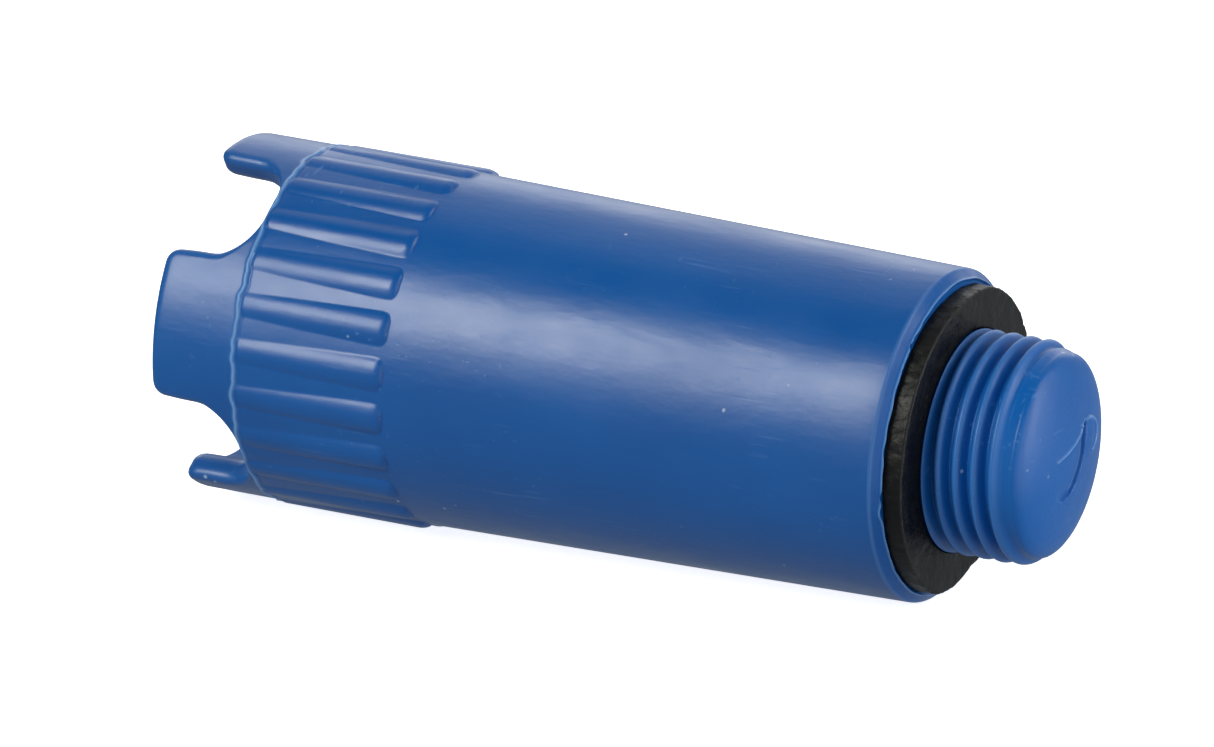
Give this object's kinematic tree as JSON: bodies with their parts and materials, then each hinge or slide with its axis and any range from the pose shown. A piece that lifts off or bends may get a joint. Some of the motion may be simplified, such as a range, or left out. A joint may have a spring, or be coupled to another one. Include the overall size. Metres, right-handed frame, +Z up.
{
  "type": "threaded test plug",
  "caption": "Moulded screw-in test plug: hollow ribbed barrel with a slotted crown, a closed threaded spigot and a flat rubber gasket that turns on its neck.",
  "frame": {"origin": "on the axis of the plug, on the plane where the thread starts, 0.1 mm in front of the gasket", "axes": "+X along the axis out of the threaded end; the plug lies on its side, +Z up; +Y to the back"},
  "size_m": [0.0873, 0.0342, 0.0342],
  "materials": {
    "blue_plastic": "semi-gloss moulded polypropylene, fine scratches",
    "black_rubber": "matte, die cut"
  },
  "bodies": {
    "plug": {"plug_body": "blue_plastic"},
    "gasket": {"gasket": "black_rubber"}
  },
  "joints": [
    {"name": "gasket_turn", "type": "hinge", "parent": "plug", "child": "gasket", "pos_m": [-0.00105, 0, 0], "axis": [1, 0, 0], "continuous": true}
  ]
}
